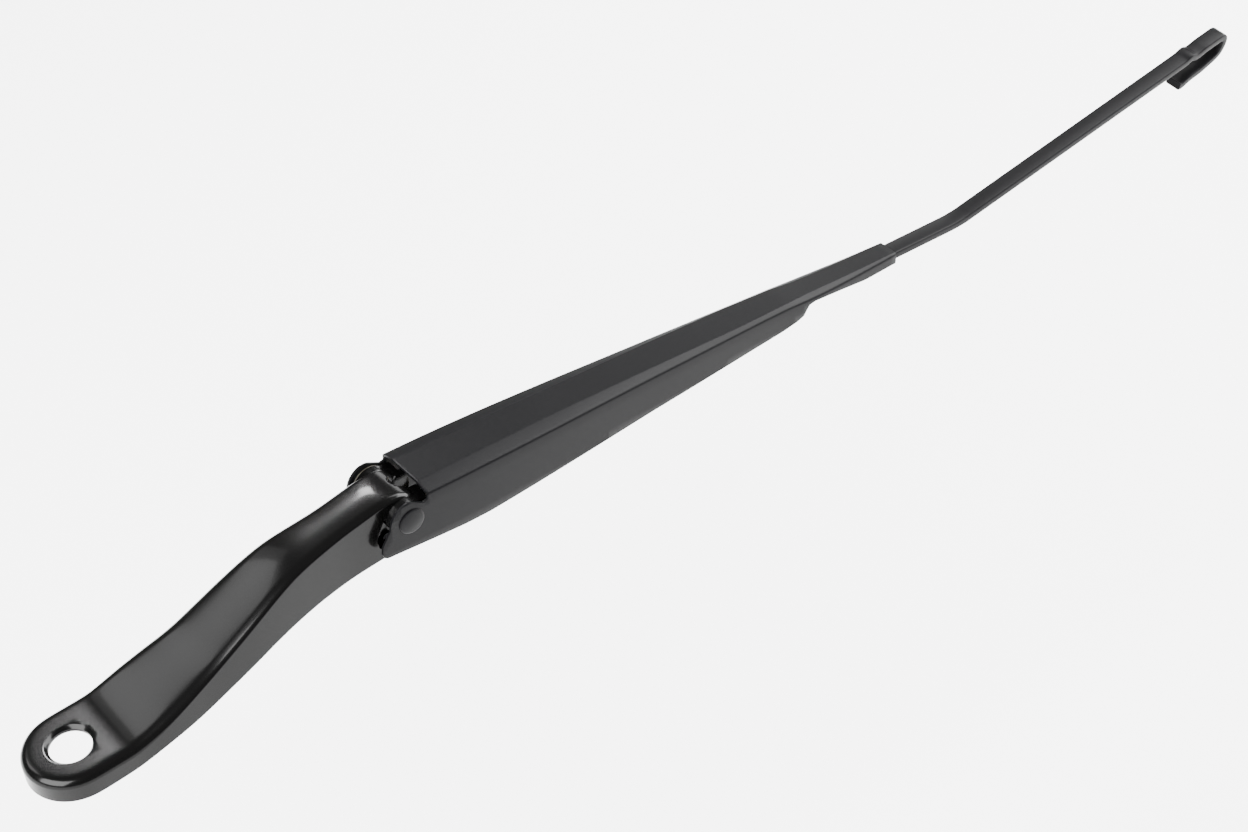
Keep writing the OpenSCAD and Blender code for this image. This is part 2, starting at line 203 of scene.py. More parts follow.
def round_edges(obj, width, segments=2, angle=40):
    """A small even radius on every edge that is sharper than the angle."""
    bevel = obj.modifiers.new("edges", "BEVEL")
    bevel.width = width * MM
    bevel.segments = segments
    bevel.limit_method = "ANGLE"
    bevel.angle_limit = math.radians(angle)
    bevel.miter_outer = "MITER_ARC"
    bevel.harden_normals = False


# %% [markdown]
# The head is one zinc casting: a trough, open below, that rises from the round boss, narrows and ends in
# two ears at the hinge. It could be cut from a block, but a casting flows from end to end, so it is
# lofted. Half a cross-section is worked out at each station from six tables, whose distances count from
# the spindle: the height of the roof and of the wall's foot, half the width, the radius of the long
# edge, the angle at which that radius stops and leaves a crease, and how far the roof's sides drop.
# Just before the hinge the roof has a low crest, and from there it rolls down to the ears.

# %% Head's form lines
boss_r, boss_plate, boss_rim, boss_round = 21.3, 4.0, 7.5, 4.2
plate_end, ear_reach = 17, 7.6
head_top = [[0, boss_plate], [plate_end, boss_plate], [24, 5.2], [35, 9], [47, 13], [60, 17.6], [75, 24.6],
            [90, 31.9], [101, 36.9], [109, 39.8], [118, 41.6], [130, 43.2], [150, 45.9],
            [hinge.x - 11, hinge.z + 11.55], [hinge.x - 8.5, hinge.z + 11.75],
            [hinge.x - 5.5, hinge.z + 11.7], [hinge.x - 3, hinge.z + 11.45], [hinge.x, hinge.z + 11],
            [hinge.x + 3, hinge.z + 9.9], [hinge.x + 6, hinge.z + 7.9],
            [hinge.x + ear_reach, hinge.z + 6.3]]
head_foot = [[0, -boss_rim], [15, -boss_rim + 0.4], [35, -3.4], [55, -0.2], [75, 5.2], [95, 11.2],
             [108, 13.9], [120, 15.4], [150, 16.9], [hinge.x + ear_reach, 17.4]]
head_half = [[0, boss_r], [26, boss_r], [35, boss_r - 0.2], [45, 20.2], [60, 18.2], [85, 16.2],
             [105, 14], [125, 11.8], [138, 10.9], [hinge.x - 10, 10.9], [hinge.x + ear_reach, 11.6]]
head_radius = [[0, boss_round], [20, boss_round], [50, 6], [120, 5.4], [hinge.x - 12, 4.4],
               [hinge.x, 3.2], [hinge.x + ear_reach, 3]]
head_crease = [[0, 8], [20, 8], [50, 34], [hinge.x - 12, 34], [hinge.x, 20]]
head_crown = [[0, 0], [24, 0], [45, 0.5], [hinge.x - 12, 0.5], [hinge.x, 0.2]]
head_stations = [0, 6, 12, plate_end, 20] + list(range(24, 150, 6))
head_stations += [hinge.x + along for along in (-14, -11, -8.5, -5.5, -3, 0, 3, 6, ear_reach)]
print("head:", len(head_stations), "stations over", round(head_stations[-1], 1), "mm")

# %% [markdown]
# One section runs from the middle of the roof over the rounded edge and down the wall. The wall leans
# out a little towards its foot, as a casting must to leave its mould. Points close to each end of a
# stretch hold its shape when the subdivision rounds the skin.

# %% Head's cross-section
head_draft, draft_run = 0.8, 40


def head_half_section(x):
    """From the crown at y = 0 out to the rounded edge and down to the foot, on the side y > 0."""
    half = flowing(x, head_half)
    top = flowing(x, head_top)
    foot = flowing(x, head_foot)
    radius = flowing(x, head_radius)
    crease = math.radians(flowing(x, head_crease))
    draft = head_draft * min(1, max(0, (x - plate_end) / draft_run))
    crown = flowing(x, head_crown)
    flat = half - radius * math.cos(crease)
    across = [(flat * share, top - crown * share * share) for share in (0, 0.34, 0.68, 0.94)]
    corner = arc(flat, top - crown - radius, radius, 80, math.degrees(crease), 4)
    start = corner[-1][1] - 0.4
    wall = [(half + draft * share, start + (foot - start) * share) for share in (0, 0.04, 0.5, 0.94, 1)]
    return across + corner + wall


def mirrored(half_row):
    """A half section and its mirror image, as one row from foot to foot."""
    return [(x, -y, z) for x, y, z in reversed(half_row[1:])] + half_row


def head_ring(x):
    return mirrored([(x, y, z) for y, z in head_half_section(x)])


print("points in one section:", len(head_ring(0)))

# %% [markdown]
# The sections are bridged, and the back of the boss is the first half-section spun half way round. One
# level of subdivision rounds what is left of the facets, and Solidify gives the casting its wall. An
# open skin has no inside for Blender to find, so `face_up` turns it by the side its roof shows.


# %% Head's skin
def face_up(bm):
    """Makes an open skin's faces agree, with those of its roof upwards."""
    bmesh.ops.recalc_face_normals(bm, faces=bm.faces)
    if sum(face.normal.z * face.calc_area() for face in bm.faces) < 0:
        bmesh.ops.reverse_faces(bm, faces=bm.faces)


def give_wall(obj, thickness):
    """An even wall, grown inwards from the skin."""
    wall = obj.modifiers.new("wall", "SOLIDIFY")
    wall.thickness = thickness * MM
    wall.offset = -1


skin = bmesh.new()
ring_chain(skin, [head_ring(x) for x in head_stations], closed=False)
spun = [skin.verts.new((0, y, z)) for y, z in head_half_section(0)]
spun_edges = [skin.edges.new(pair) for pair in zip(spun, spun[1:])]
bmesh.ops.spin(skin, geom=spun + spun_edges, cent=(0, 0, 0), axis=(0, 0, 1), angle=math.pi, steps=14)
bmesh.ops.remove_doubles(skin, verts=skin.verts, dist=0.01)
face_up(skin)
head_wall = 2.8
head = finish_mesh("arm_head_casting", skin, part_place)
flow = head.modifiers.new("flow", "SUBSURF")
flow.levels = flow.render_levels = 1
give_wall(head, head_wall)
settle(head)
print("head skin:", len(head.data.polygons), "faces")

# %% [markdown]
# At the hinge the head has to fit between the channel's walls. A side cut-out takes its own walls away
# in front of a curved skirt, which leaves the black slot beside the channel's lobe. Between the slots a
# narrower tongue goes on to the hinge. Each half of it is an inner plate along the notch, an outer
# plate, the round pad that a washer bears on, and a wedge that closes the slot from below. Both plates
# share the outline of their front, so that it is one round surface.

# %% Head's tongue
notch_half, tongue_half, pad_r = 4.5, 8.0, 8.8
channel_half, sheet = 17.0, 1.2
washer_t, outer_play, inner_play = 1.0, 0.1, 0.05
pad_half = channel_half - sheet - outer_play - washer_t - inner_play
side_cut = [(20, 6.2), (-0.8, 6.2), (-4.5, 6), (-7.4, 5), (-10.9, 1.2), (-13.8, -3.5), (-15.2, -7.2),
            (-14.6, -11), (-11, -15.5), (-9.5, -30), (20, -30)]
tongue_front = [(-2, 9.9), (1, 9), (4, 7.4), (7, 6.2)] + arc(0, 0, 13.5, 24, -45, 16) + [(ear_reach, -17.2)]
inner_plate = [(-24, 8), (-12, 10)] + tongue_front + [(-24, -17.6)]
outer_plate = [(-5, 10)] + tongue_front + [(-5, -17.4)]
pad = arc(0, 0, pad_r, 50, 310, 30) + arc(0, 0, 12.2, -28, 28, 10)


def side_prism(outline, side, inner, outer):
    """A plate on one side of the middle, between two distances from it."""
    low, high = sorted((side * inner, side * outer))
    return prism(outline, low, high)


for side in (-1, 1):
    carve(head, side_prism(side_cut, side, tongue_half, 40), head_place)
for side in (-1, 1):
    carve(head, side_prism(inner_plate, side, notch_half, notch_half + 1.4), head_place, "UNION")
    carve(head, side_prism(outer_plate, side, notch_half + 0.7, tongue_half), head_place, "UNION")
    carve(head, side_prism(pad, side, notch_half + 0.5, pad_half), head_place, "UNION")
    wedge = [(side * 5.5, -9.5), (side * 12.5, -16.5), (side * 12.5, -17.3), (side * 5.5, -17.3)]
    carve(head, prism(wedge, -4, 13.5), head_place @ Matrix.Rotation(math.pi / 2, 4, "Z"), "UNION")
print("head with its tongue:", len(head.data.polygons), "faces")

# %% [markdown]
# Three cuts are left: the notch between the ears, with a round end where the link passes, the chamfered
# bore for the spindle, and one hole through tongue and pads for the rivet. The rivet's hole comes last,
# so that it goes cleanly through all that was joined before.

# %% Head's notch and bores
notch_x = 5.2
bore_r, bore_chamfer = 9.2, 1.4
pin_r, pin_play = 3.0, 0.05
notch_end = lathe([(0, -40), (notch_half, -40), (notch_half, 40), (0, 40)], 32)
bmesh.ops.translate(notch_end, verts=notch_end.verts, vec=(notch_x, 0, 0))
carve(head, notch_end, head_place)
notch_front = [(notch_x, -40), (30, -40), (30, 40), (notch_x, 40)]
carve(head, prism(notch_front, -notch_half, notch_half), head_place)
bore = lathe([(0, -20), (bore_r, -20), (bore_r, boss_plate - bore_chamfer),
              (bore_r + bore_chamfer + 1, boss_plate + 1), (0, boss_plate + 1)], 64)
carve(head, bore, part_place)
hole_r = pin_r + pin_play
rivet_hole = lathe([(0, -30), (hole_r, -30), (hole_r, 30), (0, 30)], 32, axis=(0, 1, 0))
carve(head, rivet_hole, head_place)
round_edges(head, 0.35)
settle(head, 30)
print("head:", len(head.data.polygons), "faces")

# %% [markdown]
# The channel is pressed from one sheet: a flat roof that falls off at each side in a narrow sloping
# shoulder, two walls, a round lobe and a heel at each side of the hinge, and a narrow end that is
# folded round the rod. A box with its sides pushed in would do for a plain channel, but this one changes
# its section all along, so it is lofted like the head. Its tables count from the hinge: half the width,
# the roof's height, how far the shoulder drops, half the width of the flat roof, and the radius of the
# crease beside it. The crease is soft at the hinge and grows sharper towards the rod, so the light
# beside it narrows to a line.

# %% Channel's form lines
roof_start, roof_front, lobe_r = 8.7, 12.5, 10.8
crimp_start, crimp_end, channel_end_half = 236.0, 297.0, 9.4
fold_start, fold_run = crimp_start + 26, 9
shoulder, flat_half = 1.4, 8.0
rod_w, rod_t, rod_top, rod_play = 9.0, 4.0, 3.2, 0.05
close_x = crimp_start - 14
crimp_half = rod_w / 2 + rod_play + sheet
roof_end = rod_top + rod_play + sheet
crimp_foot = rod_top - rod_t - rod_play - sheet
channel_half_at = [[-20, channel_half], [14, channel_half], [150, 12.35], [185, 10.85],
                   [close_x - 15, 9.9], [close_x, channel_end_half], [crimp_start + 6, 9],
                   [crimp_start + 22, 8.3], [crimp_start + 40, 7.3], [crimp_end, crimp_half + 0.4]]
channel_top_at = [[-20, roof_front], [roof_start, roof_front], [close_x, 7.4], [crimp_start + 6, 6.2],
                  [crimp_start + 35, 5], [crimp_end, roof_end]]
shoulder_at = [[-20, shoulder], [close_x, shoulder - 0.2], [crimp_start + 6, 1.1], [crimp_end, 0.6]]
flat_half_at = [[-20, flat_half + 1.5], [30, flat_half + 0.8], [100, flat_half], [185, flat_half],
                [close_x, flat_half - 1.1], [crimp_start + 6, 5.6], [crimp_end, 5]]
crease_radius_at = [[-20, 9], [40, 5], [110, 1.6], [crimp_end, 1]]
print("folded end:", round(2 * crimp_half, 1), "mm wide round a rod of", rod_w, "mm")

# %% [markdown]
# Each cross-section is a bent line with rounded corners: roof, shoulder, wall, and a flange that turns
# in under the rod where the end is folded. Before the fold the flange is kept very short and far down,
# where the side outline trims it off. The roof and the wall get points along their straight parts too,
# so that their faces stay small enough to follow the taper.


# %% Channel's cross-section
CORNER_STEPS = 5
TRIMMED_FOOT = -24


def round_corners(points, radii):
    """A line of points with an arc in place of each inner corner."""
    out = [Vector(points[0])]
    for before, corner, after, radius in zip(points, points[1:], points[2:], radii):
        corner = Vector(corner)
        back_way = (Vector(before) - corner).normalized()
        on_way = (Vector(after) - corner).normalized()
        half_angle = back_way.angle(on_way) / 2
        centre = corner + (back_way + on_way).normalized() * (radius / math.sin(half_angle))
        spread = math.pi - 2 * half_angle
        middle = corner - centre
        way = -1 if back_way.x * on_way.y - back_way.y * on_way.x > 0 else 1
        for i in range(CORNER_STEPS + 1):
            turn = way * spread * (i / CORNER_STEPS - 0.5)
            out.append(centre + (Matrix.Rotation(turn, 2) @ middle).normalized() * radius)
    out.append(Vector(points[-1]))
    return out


def channel_ring(x):
    """Half of the section from the middle of the roof to the flange, and its mirror image."""
    half = flowing(x, channel_half_at)
    top = flowing(x, channel_top_at)
    edge = top - flowing(x, shoulder_at)
    flat = flowing(x, flat_half_at)
    fold = max(0, min(1, (x - fold_start) / fold_run))
    foot = TRIMMED_FOOT + (crimp_foot - TRIMMED_FOOT) * fold
    tuck = 1 + (half - 1.6) * fold
    corners = [(0, top), (flat, top), (half, edge - 0.25), (half, foot), (half - tuck, foot)]
    section = round_corners(corners, [flowing(x, crease_radius_at), 1.7, 0.8])
    wall_from = 2 * (CORNER_STEPS + 1)
    roof = [section[0].lerp(section[1], share / 5) for share in range(1, 5)]
    wall = [section[wall_from].lerp(section[wall_from + 1], share / 6) for share in range(1, 6)]
    section = section[:1] + roof + section[1:wall_from + 1] + wall + section[wall_from + 1:]
    return mirrored([(x, p.x, p.y) for p in section])


print("points in one section:", len(channel_ring(0)))

# %% [markdown]
# The sections stand close together, closest at the folded end where the form changes fastest. The skin
# gets the sheet's thickness from Solidify.

# %% Channel's skin
channel_stations = [-20 + i * 5 for i in range(47)]
channel_stations += [crimp_start - 18 + i * 3 for i in range(1, 27)]
channel_rings = [channel_ring(x) for x in channel_stations if x < crimp_end - 1]
channel_bm = bmesh.new()
ring_chain(channel_bm, channel_rings + [channel_ring(crimp_end)], closed=False)
face_up(channel_bm)
channel = finish_mesh("pressed_channel", channel_bm, arm_place)
give_wall(channel, sheet)
settle(channel)
print("channel skin:", len(channel.data.polygons), "faces")

# %% [markdown]
# One side outline trims the pressing, the way a press trims the blank: up the roof's front edge, round
# the lobe, along the heel, back along the wall's long foot, up where the wall ends, and along the
# fold. A second cut takes the roof and shoulders away in front of the roof's edge, between the walls.

# %% Channel's trim
side_outline = [(roof_start, 40), (roof_start, 7.6), (6.6, 6.9)]
side_outline += arc(0, 0, lobe_r, 96, 182, 24)
side_outline += [(-12.2, -2.6), (-15.2, -7.6)]
side_outline += arc(-11.8, -10.9, 3.7, 165, 262, 10)
side_outline += [(15, -16.4), (28, -17.2), (42, -17.3), (66, -15.8), (103, -13.4), (136, -11.1),
                 (176, -8.8), (close_x - 10, -6.6), (close_x, -5.8), (crimp_start - 6, -4.4),
                 (crimp_start - 2.2, -2.9), (crimp_start - 0.5, -0.3), (crimp_start + 1.2, 2),
                 (crimp_start + 5, 2.6), (crimp_start + 14, 1.7), (crimp_start + 22, 0.8),
                 (crimp_start + 29, -0.1), (crimp_start + 38, -1.3), (crimp_start + 46, crimp_foot - 0.05),
                 (crimp_end + 9, crimp_foot - 1)]
scrap = side_outline + [(crimp_end + 9, -60), (-60, -60), (-60, 40)]
carve(channel, prism(scrap, -40, 40), arm_place)
wall_in = channel_half - sheet
front_gap = [(-60, -60), (roof_start, -60), (roof_start, 60), (-60, 60)]
carve(channel, prism(front_gap, -wall_in, wall_in), arm_place)
round_edges(channel, 0.3)
settle(channel, 30)
print("channel:", len(channel.data.polygons), "faces")

# %% [markdown]
# The rod is flat strip, 9 by 4 mm, with its corners slightly rounded by rolling. It lies straight in
# the channel, bends up, turns a few degrees about its own length, has a small pressed step, and ends
# in a hook. A curve with a profile would sweep it too, but its section leans in tight bends, so the
# sections are worked out one by one on a centre line that is drawn from the side. `through` runs
# smoothly through the points of each bend.

# %% Rod's centre line
rod_start, rod_reach, rod_twist = 180.0, 198.0, math.radians(6.0)
bend_x, bend_a = 343.0, math.radians(11.4)
hook_gap, hook_leg = 9.4, 22.0
mid = -rod_t / 2
hook_top = rod_reach - rod_t / 2
hook_drop = hook_gap + rod_t
hook_line = [(hook_top - 12, mid), (hook_top - 5, mid), (hook_top - 2, -2.2), (hook_top - 0.4, -3.6),
             (hook_top - 0.2, -5.5), (hook_top - 1.3, -8.6), (hook_top - 3.8, -hook_drop + 1.7),
             (hook_top - 7.5, -hook_drop + 0.2), (hook_top - 12, -hook_drop - 0.6),
             (hook_top - 18, -hook_drop - 1.6), (hook_top - hook_leg - 4, -hook_drop - 1.9),
             (hook_top - hook_leg - 10, -hook_drop - 3), (hook_top - hook_leg - 12, -hook_drop - 2.6)]
pressed_step = [(160, 0), (166, 0.1), (169, 0.8), (171, 0.8), (173.5, -0.5), (177, -0.5), (181, 0)]


def past_bend(u, w):
    """A point u mm past the bend along the strip's upper face and w mm above that face."""
    return (bend_x + u * math.cos(bend_a) - w * math.sin(bend_a),
            rod_top + u * math.sin(bend_a) + w * math.cos(bend_a))


def through(points, steps):
    """A smooth curve that passes through the points, with the given steps between each two."""
    out = []
    last = len(points) - 1
    for i in range(last):
        p0, p1, p2, p3 = (Vector(points[max(0, min(last, k))]) for k in (i - 1, i, i + 1, i + 2))
        for s in range(steps):
            t = s / steps
            out.append(0.5 * ((2 * p1) + (p2 - p0) * t + (2 * p0 - 5 * p1 + 4 * p2 - p3) * t * t
                              + (3 * p1 - p0 - 3 * p2 + p3) * t ** 3))
    out.append(Vector(points[-1]))
    return out


straight_xs = (rod_start, rod_start + 4, crimp_start, crimp_end, bend_x - 12)
rod_line = [Vector((x, rod_top + mid)) for x in straight_xs]
rod_line += through([(bend_x - 8, rod_top + mid), (bend_x - 3, rod_top - 1.9), past_bend(4, mid),
                     past_bend(9, mid)], 3)
rod_line += [Vector(past_bend(u, mid)) for u in range(20, 160, 12)]
rod_line += through([past_bend(u, w + mid) for u, w in pressed_step], 3)
rod_line += through([past_bend(u, w) for u, w in hook_line], 3)
print("rod's centre line:", len(rod_line), "points")

# %% [markdown]
# The strip's section is set square to the line at each of its points. The twist is a turn about the
# line past the bend, which grows with the distance from the bend. The hole near the rod's inner end,
# inside the channel, holds the spring's hook.


# %% Rod
def rod_ring(i):
    """The strip's section at one point of the line, square to the line and turned by the twist."""
    before = rod_line[max(0, i - 1)]
    after = rod_line[min(len(rod_line) - 1, i + 1)]
    run = (after - before).normalized()
    slope = math.atan2(run.y, run.x)
    corner = 0.7
    section = []
    for cy, cz, start in ((1, 1, 0), (-1, 1, 90), (-1, -1, 180), (1, -1, 270)):
        section += arc(cy * (rod_w / 2 - corner), cz * (rod_t / 2 - corner), corner, start, start + 90, 3)
    share = max(0, min(1, (rod_line[i].x - bend_x) / rod_reach))
    turn = Matrix.Rotation(rod_twist * share, 3, Vector((math.cos(bend_a), 0, math.sin(bend_a))))
    about = Vector((bend_x, 0, rod_top))
    ring = []
    for y, h in section:
        point = Vector((rod_line[i].x - h * math.sin(slope), y, rod_line[i].y + h * math.cos(slope)))
        ring.append(about + turn @ (point - about))
    return ring


def sweep(rings):
    """A closed bar through closed rings, with a face on each end."""
    bm = bmesh.new()
    rows = ring_chain(bm, rings, closed=True)
    for row in (rows[0], rows[-1]):
        bmesh.ops.edgeloop_fill(bm, edges=row)
    bmesh.ops.recalc_face_normals(bm, faces=bm.faces)
    return bm


hook_x, rod_hole_r = rod_start + 6, 2.3
rod = finish_mesh("hook_rod", sweep([rod_ring(i) for i in range(len(rod_line))]), arm_place, 50)
rod_hole = lathe([(0, -10), (rod_hole_r, -10), (rod_hole_r, 10), (0, 10)], 24)
bmesh.ops.translate(rod_hole, verts=rod_hole.verts, vec=(hook_x, 0, 0))
carve(rod, rod_hole, arm_place)
print("rod:", len(rod.data.polygons), "faces")

# %% [markdown]
# The tension spring is one wire: a loop through the link's eye, the coil, a straight end, and a hook
# up through the rod's hole. A Screw modifier would wind the coil, but not the loop and the hook that run
# on from it, so one line is drawn for the whole wire. It pulls along the line from the head's cross pin
# to that hook, so it is drawn along this line, from the hook, and `up_hook` turns the hook's own points
# upright again. The coil's first and last turns close in on the line, as wound ends do.

# %% Spring's wire
wire_r, coil_r, loop_r, turns, per_turn, coil_len = 1.1, 5.0, 6.0, 22, 20, 100.0
anchor_back, anchor_down = 8.0, 11.6
link_eye, eye_play = 34, 0.4
hook_z = rod_top - rod_t - wire_r - 0.1
pull = Vector((hook_x * math.cos(droop) + hook_z * math.sin(droop) + anchor_back,
               -hook_x * math.sin(droop) + hook_z * math.cos(droop) + anchor_down))
pull_angle = math.atan2(pull.y, pull.x)
loop_x = link_eye - eye_play - pull.length + loop_r
coil_x = loop_x + loop_r + 5
spring_place = (arm_place @ Matrix.Translation((hook_x, 0, hook_z))
                @ Matrix.Rotation(-pull_angle - droop, 4, "Y"))


def up_hook(x, z):
    """A point of the hook, given along and square to the rod."""
    lean = droop + pull_angle
    return Vector((x * math.cos(lean) + z * math.sin(lean), 0, -x * math.sin(lean) + z * math.cos(lean)))


wire = [Vector((loop_x - loop_r * math.cos(math.radians(a)), -loop_r * math.sin(math.radians(a)), 0))
        for a in range(200, 501, 12)]
coil_steps, closing_steps = turns * per_turn, 14
for i in range(coil_steps + 1):
    size = coil_r * min(1, (i + 4) / closing_steps, (coil_steps - i + 4) / closing_steps)
    turn = math.radians(360 / per_turn * i)
    along = coil_x + coil_len * i / coil_steps
    wire.append(Vector((along, size * math.sin(turn), size * math.cos(turn))))
wire.append(Vector((coil_x + coil_len + 4, 0, 0)))
wire += through([(-10, 0, 0), up_hook(-4, -0.2), up_hook(-1, 0), up_hook(-0.2, 1), up_hook(0, 2.4),
                 up_hook(0, 4.6), up_hook(-0.6, 6.1), up_hook(-2.4, rod_t + 2 * wire_r + 0.5)], 3)
print("spring's wire:", len(wire), "points,", turns, "turns")

# %% [markdown]
# A round section is carried along the wire. At each point the side direction of the point before is
# made square to the wire again, so the section never turns about the wire, even round the hook.

# %% Spring
side = Vector((0, 0, 1)).cross(wire[1] - wire[0]).normalized()
wire_rings = []
for i, point in enumerate(wire):
    run = (wire[min(i + 1, len(wire) - 1)] - wire[max(i - 1, 0)]).normalized()
    side = (side - run * side.dot(run)).normalized()
    across = run.cross(side)
    wire_rings.append([point + wire_r * (side * c + across * d) for c, d in arc(0, 0, 1, 0, 330, 11)])
spring = finish_mesh("tension_spring_wire", sweep(wire_rings), spring_place, 50)
print("spring:", len(spring.data.polygons), "faces")

# %% [markdown]
# The rivet is turned and then peened over into a low dome with a short upright rim, at each side of the
# channel. A bevelled cylinder would look flat in the middle, so its half outline, with the dome drawn as
# an arc, is spun about the hinge's axis together with its mirror image.

# %% Rivet
rivet_r, rivet_h, dome_r = 6.3, 1.2, 30
dome_edge = 90 - math.degrees(math.asin((rivet_r - 0.2) / dome_r))
dome = arc(0, channel_half + rivet_h - dome_r, dome_r, 90, dome_edge, 8)
rim = [(rivet_r, dome[-1][1] - 0.2), (rivet_r, channel_half + 0.2), (rivet_r - 0.3, channel_half)]
half_rivet = dome + rim + [(pin_r, channel_half)]
profile = half_rivet + [(r, -h) for r, h in reversed(half_rivet)]
rivet = finish_mesh("hinge_rivet", lathe(profile, 48, axis=(0, 1, 0)), arm_place)
print("rivet:", len(rivet.data.polygons), "faces")

# %% [markdown]
# The arm is black from end to end, so its materials differ in how they spread light rather than in
# colour. Colours are given as hex codes, as a paint chart would, and `linear` turns them to the light
# values that the shader works in. `add` makes one node with its settings and its links, and every
# pattern below is built of such nodes on Object coordinates, so it stays fixed to its piece.


# %% Material helpers
def linear(code):
    """An sRGB hex colour as linear red, green, blue and full alpha."""
    parts = [int(code[i:i + 2], 16) / 255 for i in (1, 3, 5)]
    return tuple(c / 12.92 if c <= 0.04045 else ((c + 0.055) / 1.055) ** 2.4 for c in parts) + (1.0,)


def add(tree, kind, links=(), **settings):
    """Adds one node, sets its inputs by name and links (output, input) pairs to it."""
    node = tree.nodes.new(kind)
    for key, value in settings.items():
        socket = node.inputs.get(key.replace("_", " "))
        if socket is not None:
            socket.default_value = value
        else:
            setattr(node, key, value)
    for output, name in links:
        tree.links.new(output, node.inputs[name])
    return node


def new_material(name):
    """A material with its node tree and its main shader."""
    material = bpy.data.materials.new(name)
    material.use_nodes = True
    return material, material.node_tree, material.node_tree.nodes["Principled BSDF"]


def add_bump(tree, shader, height, depth_mm):
    """Lets a pattern lift the surface by up to the depth."""
    bump = add(tree, "ShaderNodeBump", [(height, "Height")], Distance=depth_mm * MM, Strength=0.6)
    tree.links.new(bump.outputs["Normal"], shader.inputs["Normal"])


print("paint black in light values:", round(linear("#040404")[0], 5))

# %% [markdown]
# Black paint shows the room more than itself. The head is cast zinc under thick gloss paint: the wet
# film levels out, which gives smooth soft-edged lights, and draws up into low swellings of about 4 mm,
# the orange peel. The channel, the rod and the rivet have a thin satin coat on steel, whose fine grain
# of about 0.6 mm breaks every light into an even sheen. A film is never equally smooth all over, so the
# roughness drifts a little over about 30 mm. The lights are strong enough to bring the floor close to
# white, and so bright a room would grey the paint, so the shine is set lower than a real paint's until
# the blacks match.

# %% Black paints
FILM_DRIFT_MM, FILM_DRIFT = 30, 0.03


def paint(name, colour, roughness, shine, coat, grain_mm, grain_depth):
    """Black paint with a surface grain and a roughness that drifts; coat is a clear gloss on top."""
    material, tree, shader = new_material(name)
    shader.inputs["Base Color"].default_value = linear(colour)
    shader.inputs["Specular IOR Level"].default_value = shine
    shader.inputs["Coat Weight"].default_value = coat
    shader.inputs["Coat Roughness"].default_value = 0.1
    place = add(tree, "ShaderNodeTexCoord")
    grain = add(tree, "ShaderNodeTexNoise", [(place.outputs["Object"], "Vector")],
                Scale=1 / (grain_mm * MM), Detail=2.0)
    add_bump(tree, shader, grain.outputs["Fac"], grain_depth)
    film = add(tree, "ShaderNodeTexNoise", [(place.outputs["Object"], "Vector")],
               Scale=1 / (FILM_DRIFT_MM * MM), Detail=2.0)
    drift = add(tree, "ShaderNodeMapRange", [(film.outputs["Fac"], "Value")],
                To_Min=roughness - FILM_DRIFT, To_Max=roughness + FILM_DRIFT)
    tree.links.new(drift.outputs["Result"], shader.inputs["Roughness"])
    return material


# Gloss over cast zinc: a deep black in which lights keep their shape, with slightly uneven edges.
gloss_black = paint("gloss_black_paint_on_cast_zinc", "#040404", 0.24, 0.06, 0.12, 4.0, 0.004)
# A thin satin coat on steel: a dark grey sheen with no clear light in it.
satin_black = paint("satin_black_coat_on_pressed_steel", "#070708", 0.38, 0.055, 0.0, 0.6, 0.02)
print("paints:", gloss_black.name, "and", satin_black.name)

# %% [markdown]
# Inside the hinge the metal shows. The link is steel with a yellowish zinc plate, the pale glimpse in
# the notch, and plate clouds over in patches of about 3 mm, duller where it is darker. The washers
# have aged to a dull grey brown, and the cross pin is near-black steel: partly its blackened finish and
# partly painted shade that keeps its end dark in the slot. The spring is bare wire under a thin film of
# oil. All of them keep the fine grain of their steel. It is really finer than a tenth of a millimetre, and
# is drawn at 0.3 mm so that it shows at all.

# %% Bare and plated metals
STEEL_GRAIN_MM, CLOUD_SPREAD = 0.3, 0.12


def metal(name, pale, dark, roughness, cloud_mm, grain_depth):
    """Metal that clouds between two colours, rougher where it is darker, with a fine grain."""
    material, tree, shader = new_material(name)
    shader.inputs["Metallic"].default_value = 1.0
    place = add(tree, "ShaderNodeTexCoord")
    cloud = add(tree, "ShaderNodeTexNoise", [(place.outputs["Object"], "Vector")],
                Scale=1 / (cloud_mm * MM), Detail=4.0)
    tint = add(tree, "ShaderNodeValToRGB", [(cloud.outputs["Fac"], "Fac")])
    for element, position, colour in zip(tint.color_ramp.elements, (0.3, 0.7), (dark, pale)):
        element.position = position
        element.color = linear(colour)
    tree.links.new(tint.outputs["Color"], shader.inputs["Base Color"])
    dulling = add(tree, "ShaderNodeMapRange", [(cloud.outputs["Fac"], "Value")],
                  To_Min=roughness + CLOUD_SPREAD, To_Max=roughness - CLOUD_SPREAD)
    tree.links.new(dulling.outputs["Result"], shader.inputs["Roughness"])
    grain = add(tree, "ShaderNodeTexNoise", [(place.outputs["Object"], "Vector")],
                Scale=1 / (STEEL_GRAIN_MM * MM), Detail=2.0)
    add_bump(tree, shader, grain.outputs["Fac"], grain_depth)
    return material


# Zinc plate with a yellowish tinge: the pale, faintly cloudy glimpse in the notch.
yellow_zinc = metal("yellow_zinc_plate_on_pressed_steel", "#cfc7ab", "#b8ac84", 0.38, 3.0, 0.01)
# Aged zinc plate: a dull edge beside the lobes, hardly lighter than the paint.
dull_zinc = metal("dull_aged_zinc_plate_on_steel_washers", "#54524b", "#3e3c37", 0.5, 2.0, 0.012)
# Blackened steel kept near black: partly the pin's real finish and partly painted shade, so its end is lost
# in the dark of the side slot.
pin_black_and_painted_shade = metal("blackened_steel_cross_pin_and_painted_shade", "#101012", "#080809", 0.5, 1.5, 0.01)
# Oiled wire: a cool grey with one bright line on each turn.
spring_steel = metal("oiled_spring_steel_wire", "#787a7e", "#585a5e", 0.32, 1.5, 0.008)
print("metals:", len((yellow_zinc, dull_zinc, pin_black_and_painted_shade, spring_steel)))
